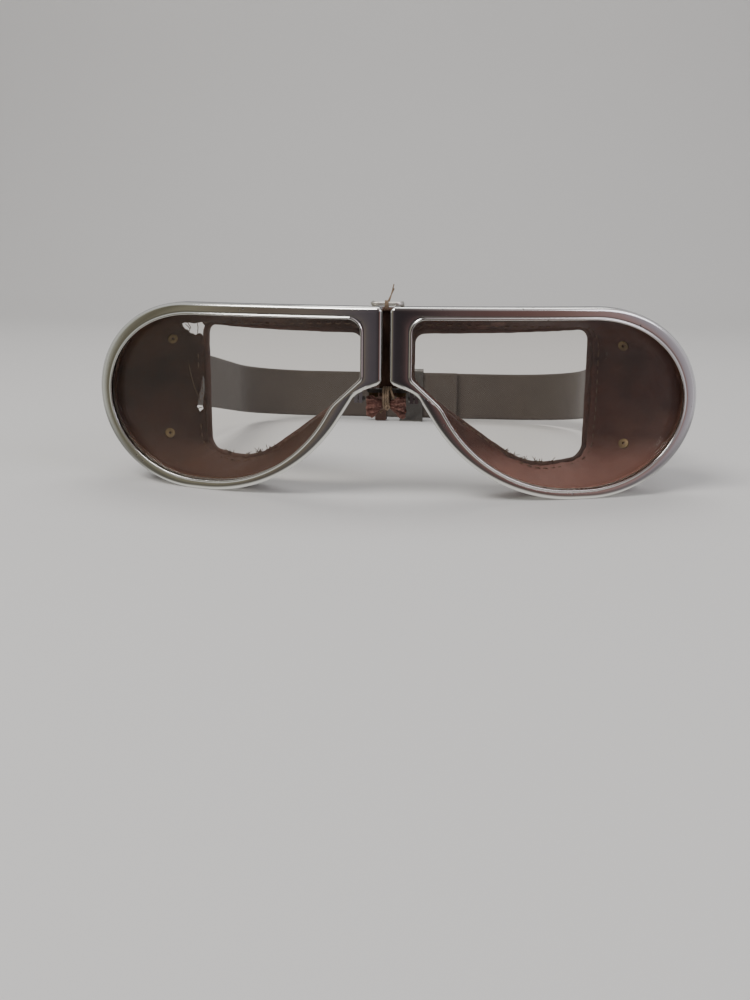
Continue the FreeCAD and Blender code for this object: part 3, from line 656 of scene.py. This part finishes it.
def curl(p, tears):
    """How far the leather stands off beside a tear."""
    if p.y < 20:
        return 0.0
    gap = min(math.hypot(p.x - q.x, p.z - q.z) for tear in tears for q in tear)
    return 0.7 * math.exp(-(gap / 1.3) ** 2) * (0.6 + noise.noise(p * 0.5))


def tear_out(obj, tears):
    """Cuts the ragged outlines out of the temple wall."""
    for path in tears:
        count = len(path)
        points = [p + Vector((0, y, 0)) for y in TEAR_CUT for p in path]
        faces = ring_faces(count, 2)
        faces += [tuple(range(count)), tuple(reversed(range(count, 2 * count)))]
        cutter = make_mesh("tear", points, faces, CHROME, -1)
        flip_if_inside_out(cutter)
        cut = obj.modifiers.new("tear", "BOOLEAN")
        cut.object = cutter
        cut.operation = "DIFFERENCE"
        apply_modifiers(obj)
        bpy.data.objects.remove(cutter)


def face_edge(side_name):
    """The rolled leather edge that rests on the face, with soft puckers."""
    side = SIDES[side_name]
    hub = resample(cup_wall()[4], 0.7, closed=True)

    def pucker(i, a):
        p = hub[i]
        return 1.0 + 0.10 * noise.noise(p * 0.35 + Vector((math.cos(a), math.sin(a), side * 9.0)))

    obj = tube(side_name + "_rolled_edge", hub, EDGE_R, EDGE_LEATHER, side, True, 18, pucker)
    return obj


def thread_pieces(name, lines, radius, material, side=1, sides=8):
    """Many separate bits of thread as one mesh."""
    points, faces = [], []
    for line in lines:
        start = len(points)
        for i, (p, (_, u, v)) in enumerate(zip(line, frames_along(line))):
            t = i / (len(line) - 1)
            thin = 0.55 + 0.45 * math.sin(math.pi * min(1, max(0, t)))
            for k in range(sides):
                a = 2 * math.pi * k / sides
                points.append(p + (u * math.cos(a) + v * math.sin(a)) * radius * thin)
        faces += [tuple(start + k for k in f) for f in ring_faces(sides, len(line))]
        faces.append(tuple(start + k for k in reversed(range(sides))))
        last = start + sides * (len(line) - 1)
        faces.append(tuple(last + k for k in range(sides)))
    return make_mesh(name, points, faces, material, side)


def cup_stitches(side_name):
    """Stitching through the cup wall, in front of the rolled edge, seen on both of its sides."""
    side = SIDES[side_name]
    _, collar, rear, normals, _ = cup_wall()
    lines = []
    for off in (LEATHER / 2, -LEATHER / 2):
        sign = 1 if off > 0 else -1
        row, up = [], []
        for c, r, n in zip(collar, rear, normals):
            p = r + (c - r).normalized() * SEAM_IN + n * off
            row.append(p)
            up.append(p + n * sign)
        spots, tops = resample(row, STITCH, True), resample(up, STITCH, True)
        for i, p in enumerate(spots):
            if side < 0 and torn_near(p):
                continue
            q = spots[(i + 1) % len(spots)]
            out = min(tops, key=lambda t: (t - p).length_squared) - p
            out.normalize()
            rise = [0.30 * math.sin(math.pi * k / 6) - 0.12 for k in range(7)]
            lines.append([p + (q - p) * (0.62 * k / 6) + out * rise[k] for k in range(7)])
    obj = thread_pieces(side_name + "_cup_stitches", lines, STITCH_R, DARK_THREAD, side)
    return obj


def torn_near(p):
    """Whether a tear has taken the seam away at a place."""
    for tear in TEARS:
        xs, zs = [x for x, _ in tear], [z for _, z in tear]
        if min(xs) - 2 < p.x < max(xs) + 2 and min(zs) - 1 < p.z < max(zs) + 1:
            return True
    return False


def on_temple(x, z):
    """A place just inside the temple wall."""
    return Vector((x, 40.4 - (x - 64.5) * 0.40, z))


def frayed_threads():
    """Broken sewing thread across the tears of the right cup, and one that lies along its wall."""
    ties = (((65.9, 21.6), (65.5, 19.6), (65.8, 17.2)),
            ((69.4, 20.6), (68.2, 19.4), (67.9, 18.6), (68.6, 18.2)),
            ((68.7, 21.3), (68.3, 20.2), (67.6, 19.5), (67.9, 19.0)),
            ((66.4, -7.9), (65.7, -7.2), (65.0, -7.6)),
            ((68.9, 8.6), (68.3, 4.0), (67.3, -0.4), (65.9, -4.4), (65.3, -6.0)))
    lines = [soften(resample([on_temple(x, z) for x, z in tie], 0.3), 4) for tie in ties]
    obj = thread_pieces("right_cup_torn_threads", lines, LOOSE_R, DARK_THREAD, -1)
    return obj


def edge_tufts(side_name):
    """Dark remains of the old lining along the lower rear edge."""
    side = SIDES[side_name]
    rng = random.Random(11 + side)
    hub = cup_wall()[4]
    low = [p for p in hub if p.z < -9 and 22 < p.x < 56]
    lines = []
    for _ in range(7):
        centre = rng.choice(low)
        for _ in range(14):
            start = centre + Vector((rng.gauss(0, 0.8), -0.6, EDGE_R * 0.7 + rng.gauss(0, 0.15)))
            way = Vector((rng.gauss(0, 0.7), -abs(rng.gauss(0.2, 0.5)), rng.gauss(0.5, 0.5)))
            curl = Vector((rng.gauss(0, 0.4), rng.gauss(0, 0.4), rng.gauss(0, 0.4)))
            lines.append([start + way * t + curl * t * t for t in (0, 0.25, 0.5, 0.75, 1.0)])
    obj = thread_pieces(side_name + "_edge_tufts", lines, FRAY_R, DARK_THREAD, side)
    return obj


# ---- strap
def tilted(p, height):
    """From the strap's plan, which slopes down to the back, to the row frame."""
    back = p.y - RING_REAR.y
    return Vector((p.x, RING_REAR.y + back * math.cos(STRAP_TILT),
                   STRAP_Z + height - back * math.sin(STRAP_TILT)))


def strap_path(corner_y, bend):
    """The webbing's middle line in plan: sewn end, round the ring, side, bend and back."""
    corner = Vector((STRAP_CORNER.x, corner_y, 0))
    along = (corner - RING_REAR).normalized()
    across = Vector((-along.y, along.x, 0))

    def local(s, t):
        return RING_REAR + along * s + across * t

    loop_r = 1.0 + 0.08 + STRAP_T / 2
    path = [local(SEWN, STRAP_T + 0.04), local(6.0, STRAP_T + 0.04), local(2.5, loop_r * 0.98)]
    for k in range(13):
        a = math.pi / 2 + math.pi * k / 12
        path.append(local(loop_r * math.cos(a), loop_r * math.sin(a)))
    path += [local(3.0, -loop_r * 0.88), local(6.5, -0.5), local(10.0, 0.0)]
    turn = math.acos(along.dot(Vector((-1, 0, 0))))
    reach = bend * math.tan(turn / 2)
    start, centre = corner - along * reach, corner - along * reach + across * bend
    for k in range(25):
        spin = Matrix.Rotation(turn * k / 24, 3, "Z")
        path.append(centre + spin @ (start - centre))
    path.append(Vector((-OVERLAP, corner_y, 0)))
    return path


def strap(side_name):
    """One half of the elastic strap, woven and a little wavy."""
    side = SIDES[side_name]
    outer = side_name == "left"
    step = LAYER_STEP if outer else 0.0
    path = resample(strap_path(STRAP_CORNER.y + step, STRAP_BEND_R + step), 0.7)
    half_w, half_t, edge = STRAP_W / 2, STRAP_T / 2, 0.45
    section = []
    flat = 2 * (half_w - edge)
    for sign in (1, -1):
        for k in range(25):
            section.append((sign * half_t, sign * (-half_w + edge + flat * k / 24)))
        section.append((sign * half_t * 0.7, sign * (half_w - 0.1)))
        section.append((0.0, sign * half_w))
    points, uvs, travelled = [], [], 0.0
    for i, p in enumerate(path):
        ahead = path[min(i + 1, len(path) - 1)] - path[max(i - 1, 0)]
        across = Vector((-ahead.y, ahead.x, 0)).normalized()
        travelled += (p - path[i - 1]).length if i else 0.0
        for t, w in section:
            ripple = 0.10 * noise.noise(Vector((travelled * 0.11, w * 0.18, side * 5.0)))
            points.append(tilted(p + across * (t + ripple), w))
            uvs.append((travelled * MM, w * MM))
    count = len(section)
    faces = ring_faces(count, len(path))
    faces.append(tuple(range(count)))
    faces.append(tuple(reversed(range(len(points) - count, len(points)))))
    obj = make_mesh(side_name + "_webbing", points, faces, WEBBING, side, uvs)
    flip_if_inside_out(obj)
    return obj


def flip_if_inside_out(obj):
    mesh = bmesh.new()
    mesh.from_mesh(obj.data)
    bmesh.ops.recalc_face_normals(mesh, faces=mesh.faces)
    mesh.to_mesh(obj.data)
    mesh.free()


def strap_stitches(side_name):
    """The box of stitching that closes the webbing round its ring."""
    side = SIDES[side_name]
    step = LAYER_STEP if side_name == "left" else 0.0
    corner = Vector((STRAP_CORNER.x, STRAP_CORNER.y + step, 0))
    along = (corner - RING_REAR).normalized()
    across = Vector((-along.y, along.x, 0))
    lines = []
    faces = ((STRAP_T * 1.5 + 0.04, 1), (-STRAP_T / 2, -1))
    a, b, c, d = (5.5, -8), (14.5, -8), (14.5, 8), (5.5, 8)
    seams = ((a, b), (b, c), (c, d), (d, a), (a, c), (d, b))
    for t, sign in faces:
        for (s0, w0), (s1, w1) in seams:
            length = math.hypot(s1 - s0, w1 - w0)
            for k in range(int(length / 1.9)):
                first, last = k * 1.9 / length, (k * 1.9 + 1.3) / length
                line = []
                for q in range(7):
                    f = first + (last - first) * q / 6
                    s, w = s0 + (s1 - s0) * f, w0 + (w1 - w0) * f
                    rise = 0.22 * math.sin(math.pi * q / 6) - 0.05
                    line.append(tilted(RING_REAR + along * s + across * (t + sign * rise), w))
                lines.append(line)
    obj = thread_pieces(side_name + "_webbing_stitches", lines, WEB_STITCH_R, THREAD, side)
    return obj


# ---- bridge soft parts
def nose_roll():
    """A crumpled leather roll, pinched in the middle, with its layers showing at the ends."""
    around, along = 96, 90
    points = []
    for i in range(along + 1):
        s = -1 + 2 * i / along
        x = s * NOSE_HALF
        wide = 1.25 + (NOSE_R - 1.25) * smooth_step(abs(x), 0.7, 4.2)
        droop = 0.75 * math.exp(-(x / 1.9) ** 2) - 0.35 * smooth_step(x, 2.0, 6.0)
        for k in range(around):
            a = 2 * math.pi * k / around
            fan = smooth_step(abs(x), 0.6, 4.5)
            pleat = 0.10 * math.sin(9 * a + 2.2 * s + 3 * noise.noise(Vector((a, s * 2, 1))))
            fold = 0.34 * noise.noise(Vector((2.1 * math.cos(a), 2.1 * math.sin(a), s * 3.0)))
            fine = 0.12 * noise.noise(Vector((6 * math.cos(a), 6 * math.sin(a), s * 9.0)))
            r = wide * (1 + fan * (pleat + fold) + fine)
            shift = 0.5 * fan * noise.noise(Vector((a * 2, 0, s)))
            points.append(Vector((x + shift, NOSE_Y + r * math.cos(a) * 0.92,
                                  NOSE_Z + droop + r * math.sin(a))))
    faces = ring_faces(around, along + 1)
    for end in (0, along):
        ring = points[end * around:(end + 1) * around]
        centre = sum(ring, Vector()) / around
        inward = 1 if end == 0 else -1
        previous = end * around
        for level in range(1, 9):
            shrink = 1 - level / 9
            start = len(points)
            for k, p in enumerate(ring):
                spiral = math.sin(2 * math.pi * (level / 2.6 + k / around))
                q = centre.lerp(p, shrink)
                q.x += inward * (0.30 + 0.42 * spiral * (1 - 0.5 * shrink))
                points.append(q)
            for k in range(around):
                j = (k + 1) % around
                quad = (previous + k, previous + j, start + j, start + k)
                faces.append(quad if end else tuple(reversed(quad)))
            previous = start
        cap = tuple(range(previous, previous + around))
        faces.append(cap if end else tuple(reversed(cap)))
    obj = make_mesh("nose_roll", points, faces, NOSE_LEATHER)
    flip_if_inside_out(obj)
    return obj


def backing():
    """The leather strip behind the gap, with curled edges and a soft hook under the cross bar."""
    low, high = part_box("bridge_backing")
    low, high = low / MM, high / MM
    half, thick, bend = high.x, 0.9, 1.6
    y, top = high.y - thick / 2, high.z - thick / 2
    path = [Vector((0, low.y + 0.1, top - 0.25)), Vector((0, y - bend, top))]
    for k in range(1, 9):
        a = math.pi / 2 * k / 8
        path.append(Vector((0, y - bend + bend * math.sin(a), top - bend + bend * math.cos(a))))
    path = resample(path + [Vector((0, y, low.z))], 0.35)
    section = [(w / 16, t) for t, r in ((1, range(-16, 17)), (-1, range(16, -17, -1))) for w in r]
    points = []
    for i, p in enumerate(path):
        ahead = (path[min(i + 1, len(path) - 1)] - path[max(i - 1, 0)]).normalized()
        out = Vector((0, ahead.z, -ahead.y))
        width = half * (0.93 + 0.07 * noise.noise(Vector((0, 0, i * 0.12))))
        for w, t in section:
            thin = (1 - abs(w) ** 6) ** 0.5 * 0.85 + 0.12
            lift = 0.16 * noise.noise(Vector((w * 1.3, i * 0.10, 4.0))) - 0.22 * w * w
            points.append(p + Vector((w * width, 0, 0)) + out * (t * thick / 2 * thin + lift))
    count = len(section)
    faces = ring_faces(count, len(path))
    faces += [tuple(range(count)), tuple(reversed(range(len(points) - count, len(points))))]
    obj = make_mesh("bridge_leather", points, faces, TAB_LEATHER)
    flip_if_inside_out(obj)
    return obj


def twisted(path, ply=2, pitch=1.1):
    """Radius changes that make a tube look like twisted thread."""
    travelled = [0.0]
    for a, b in zip(path, path[1:]):
        travelled.append(travelled[-1] + (b - a).length)

    def shape(i, angle):
        return 0.90 + 0.16 * abs(math.cos(ply / 2 * angle - math.pi * travelled[i] / pitch))

    return shape


def wrap(name, centre, half_y, half_z, radius, x0, pitch, turns, seed, tails, slack=0.12):
    """Thread wound round something in the Y-Z plane, ending in loose tails."""
    path = []
    steps = int(turns * 48)
    for k in range(steps + 1):
        a = -math.pi / 2 + 2 * math.pi * k / 48
        c, s = math.cos(a), math.sin(a)
        squeeze = (abs(c) ** 2.6 + abs(s) ** 2.6) ** (-1 / 2.6)
        wobble = slack * noise.noise(Vector((k * 0.09, seed, 0)))
        path.append(Vector((x0 + pitch * k / 48 + wobble, centre[0] + half_y * c * squeeze,
                            centre[1] + half_z * s * squeeze)))
    before = [path[0] + Vector(t) for t in reversed(tails[0])]
    after = [path[-1] + Vector(t) for t in tails[1]]
    path = resample(soften(before + path + after, 3), 0.11)
    return tube(name, path, radius, THREAD, shape=twisted(path))


def soften(path, rounds):
    """Rounds the bends of a path and keeps its ends."""
    for _ in range(rounds):
        middle = [(a + b * 2 + c) / 4 for a, b, c in zip(path, path[1:], path[2:])]
        path = [path[0]] + middle + [path[-1]]
    return path


def lower_lashing():
    low, high = NOSE_Z - 0.75, LINK_TOP + 0.55
    centre = ((NOSE_Y + PIN_Y) / 2 + 0.2, (low + high) / 2)
    half_y, half_z = (PIN_Y + 1.9 - (NOSE_Y - 1.9)) / 2, (high - low) / 2
    tails = ([(-0.3, 0.5, -0.6), (-0.7, -0.2, -1.6)],
             [(0.4, -0.5, -0.9), (0.9, -0.8, -1.9), (1.2, -0.6, -2.9)])
    main = wrap("a", centre, half_y, half_z, 0.36, -1.25, 0.68, 3.6, 2.0, tails)
    knot = [Vector((0.5 + 0.55 * math.cos(a), NOSE_Y - 1.75 + 0.35 * math.sin(2 * a),
                    NOSE_Z - 0.2 + 0.55 * math.sin(a))) for a in [0.35 * k for k in range(15)]]
    path = resample(knot, 0.11)
    tie = tube("b", path, 0.30, THREAD, shape=twisted(path))
    return join("lower_twine", [main, tie])


def upper_lashing():
    """Two ties on the cross bar, with long frayed ends."""
    reach = WIRE_R + 0.26
    first = ([(-0.2, 0.6, -0.5), (-0.3, 1.4, -1.0)],
             [(0.5, 0.6, 0.8), (1.1, 1.6, 2.2), (1.9, 2.2, 4.0)])
    second = ([(0.1, 0.6, -0.4), (0.1, 1.3, -0.9)],
              [(0.4, 0.5, 1.0), (0.9, 1.3, 2.8), (1.3, 2.6, 5.2)])
    centre = (BRIDGE_FRONT, BRIDGE_TOP)
    a = wrap("a", centre, reach, reach, 0.19, -0.50, 0.22, 2.3, 4.0, first, 0.04)
    b = wrap("b", centre, reach, reach, 0.19, 0.06, 0.19, 2.3, 9.0, second, 0.04)
    return join("upper_twine", [a, b])


# ---- put it together
METAL = {"front_rim": CHROME, "closing_screw": DARK_STEEL, "lens_gasket": RUBBER, "lens": GLASS,
         "back_rim": NICKEL, "hinge_leaf": DARK_STEEL, "tab_rivets": BRASS, "strap_ring": STEEL}
SINGLE = {"bridge_wire": NICKEL, "lower_link": DARK_STEEL, "pin_nuts": BRASS,
          "strap_slider": DARK_STEEL}


def dress_metal():
    for side_name in SIDES:
        for part, material in METAL.items():
            coat(NODES[side_name + "_" + part].data, material)
    for node, material in SINGLE.items():
        coat(NODES[node].data, material)


def place(obj, body, *nodes):
    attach(obj, body)
    if nodes:
        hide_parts(*nodes)


def build():
    dress_metal()
    for name in SIDES:
        body, half = name + "_frame", name + "_strap_half"
        place(rim_face(name), body)
        place(cup(name), body, name + "_eyecup")
        place(face_edge(name), body, name + "_face_pad")
        place(cup_stitches(name), body)
        place(edge_tufts(name), body)
        tab = soft_copy(name + "_tab_leather", name + "_strap_tab", 0.35, TAB_LEATHER, 0.12, 3.0)
        place(tab, body, name + "_strap_tab")
        place(strap(name), half, name + "_strap")
        place(strap_stitches(name), half)
    place(frayed_threads(), "right_frame")
    place(backing(), "bridge", "bridge_backing")
    place(nose_roll(), "bridge", "nose_pad")
    place(lower_lashing(), "bridge", "lower_lashing")
    place(upper_lashing(), "bridge", "upper_lashing")
    keeper = soft_copy("keeper_leather_loop", "strap_keeper", 0.22, KEEPER_LEATHER, 0.06, 8.0)
    place(keeper, "keeper", "strap_keeper")


# ---- stage, light and camera
ROOM = ((-180, (0.22, 0.22, 0.23)), (-100, (0.60, 0.60, 0.58)), (-76, (0.55, 0.55, 0.50)),
        (-66, (0.20, 0.185, 0.14)), (-58, (0.13, 0.118, 0.085)), (-49, (0.25, 0.23, 0.17)),
        (-38, (0.14, 0.11, 0.088)), (-28, (0.17, 0.14, 0.12)), (-17, (0.095, 0.082, 0.095)),
        (-6, (0.06, 0.05, 0.055)), (9, (0.030, 0.025, 0.028)), (17, (0.12, 0.075, 0.075)),
        (27, (0.15, 0.080, 0.075)), (38, (0.22, 0.13, 0.118)), (47, (0.34, 0.22, 0.215)),
        (55, (0.33, 0.29, 0.33)), (74, (0.62, 0.58, 0.64)), (100, (0.70, 0.69, 0.72)),
        (180, (0.22, 0.22, 0.23)))
OVERHEAD = ((-180, (0.5, 0.5, 0.5)), (-45, (0.78, 0.78, 0.77)), (-18, (0.16, 0.14, 0.14)),
            (12, (0.12, 0.10, 0.10)), (42, (0.72, 0.66, 0.68)), (180, (0.5, 0.5, 0.5)))
LOW_DIM, LOW_BRIGHT = (0.085, 0.082, 0.075), (0.80, 0.78, 0.74)


def room(n):
    """What metal and glass mirror, by the ray's direction: a dim room between pale side walls, a
    dark middle overhead, something dim low down, and the pale table."""
    incoming = n.add("ShaderNodeNewGeometry").outputs["Incoming"]
    way = n.add("ShaderNodeVectorMath", {"Vector": incoming}, operation="SCALE")
    way.inputs["Scale"].default_value = -1.0
    split = n.add("ShaderNodeSeparateXYZ", {"Vector": way.outputs[0]})
    x, y, z = split.outputs
    turn = n.math("ARCTAN2", x, n.times(y, -1.0))
    at = n.plus(n.math("DIVIDE", turn, 2 * math.pi), 0.5)
    ripple = n.noise(way.outputs[0], 3.5, 3)
    at = n.plus(at, n.times(n.math("SUBTRACT", ripple, 0.5), 0.03))
    around, above = (n.ramp(at, [((deg + 180) / 360, colour) for deg, colour in stops])
                     for stops in (ROOM, OVERHEAD))
    fall = n.times(z, -1.0)
    colour = n.mix(n.grey(z, [(0.28, 0.0), (0.66, 1.0)]), around, above)
    colour = n.mix(n.grey(fall, [(0.185, 0.0), (0.26, 0.6)]), colour, LOW_DIM)
    return n.mix(n.grey(fall, [(0.42, 0.0), (0.72, 1.0)]), colour, LOW_BRIGHT)


def mirrored(n):
    """1 for a ray that a shiny surface has thrown back, 0 for any other."""
    path = n.add("ShaderNodeLightPath").outputs
    return n.times(path["Is Reflection Ray"], n.math("SUBTRACT", 1.0, path["Is Diffuse Ray"]))


def plain(name, colour, rough):
    n = Nodes(name)
    tone = n.noise(n.coords(), 6, 3)
    n.finish(Base_Color=n.mix(tone, tuple(c * 0.97 for c in colour), colour), Roughness=rough)
    # For rays thrown back by metal and glass, the paper glows with the room's colours instead. This
    # is a painted reflection, not a lamp.
    painted_room_reflection = n.add("ShaderNodeEmission", {"Color": room(n)})
    both = n.add("ShaderNodeMixShader", {"Fac": mirrored(n)})
    n.tree.links.new(n.bsdf.outputs[0], both.inputs[1])
    n.tree.links.new(painted_room_reflection.outputs[0], both.inputs[2])
    n.tree.links.new(both.outputs[0], n.tree.nodes["Material Output"].inputs["Surface"])
    return n.material


def backdrop():
    """A pale table that curves up into a pale wall."""
    floor_z = cad_low.z
    profile = [(-1.2, 0.0), (0.75, 0.0)]
    for k in range(1, 17):
        a = math.pi / 2 * k / 16
        profile.append((0.75 + 0.35 * math.sin(a), 0.35 - 0.35 * math.cos(a)))
    profile.append((1.10, 1.8))
    points, faces = [], []
    for y, z in profile:
        points += [(-2500, y * 1000, (floor_z + z) * 1000), (2500, y * 1000, (floor_z + z) * 1000)]
    for k in range(len(profile) - 1):
        faces.append((2 * k, 2 * k + 1, 2 * k + 3, 2 * k + 2))
    obj = make_mesh("backdrop", points, faces, plain("paper", (0.70, 0.69, 0.675), 0.85))


def area_light(name, place_at, aim, size, power, colour):
    light = bpy.data.lights.new(name, "AREA")
    light.shape = "RECTANGLE"
    light.size, light.size_y = size
    light.energy = power
    light.color = colour
    obj = bpy.data.objects.new(name, light)
    obj.location = place_at
    obj.rotation_euler = (Vector(aim) - Vector(place_at)).to_track_quat("-Z", "Y").to_euler()
    bpy.context.scene.collection.objects.link(obj)


def lights():
    world = bpy.data.worlds.new("studio")
    bpy.context.scene.world = world
    n = Nodes("", world)
    n.put(n.tree.nodes["Background"].inputs[0], n.mix(mirrored(n), (0.25, 0.25, 0.26), room(n)))
    area_light("key", (-0.55, -0.60, 1.05), (0, 0.03, 0), (0.7, 0.5), 12.0, (1.0, 0.98, 0.95))
    area_light("fill", (0.85, -0.45, 0.55), (0, 0.03, 0), (0.6, 0.5), 2.6, (0.92, 0.90, 1.0))
    area_light("top", (0.1, 0.45, 1.1), (0, 0.05, 0), (0.9, 0.6), 5.0, (1.0, 1.0, 0.98))


def camera():
    """A view from a little above the goggles and a little to the wearer's left."""
    data = bpy.data.cameras.new("camera")
    data.lens = 36.36
    data.clip_start = 0.01
    obj = bpy.data.objects.new("camera", data)
    bpy.context.scene.collection.objects.link(obj)
    eye, aim, roll = Vector((0.0228, -0.2937, 0.0454)), Vector((-0.00275, 0, -0.0281)), 0.46
    look = (aim - eye).to_track_quat("-Z", "Y").to_matrix()
    obj.rotation_euler = (look @ Matrix.Rotation(math.radians(roll), 3, "Z")).to_euler()
    obj.location = eye
    bpy.context.scene.camera = obj


build()
backdrop()
lights()
camera()
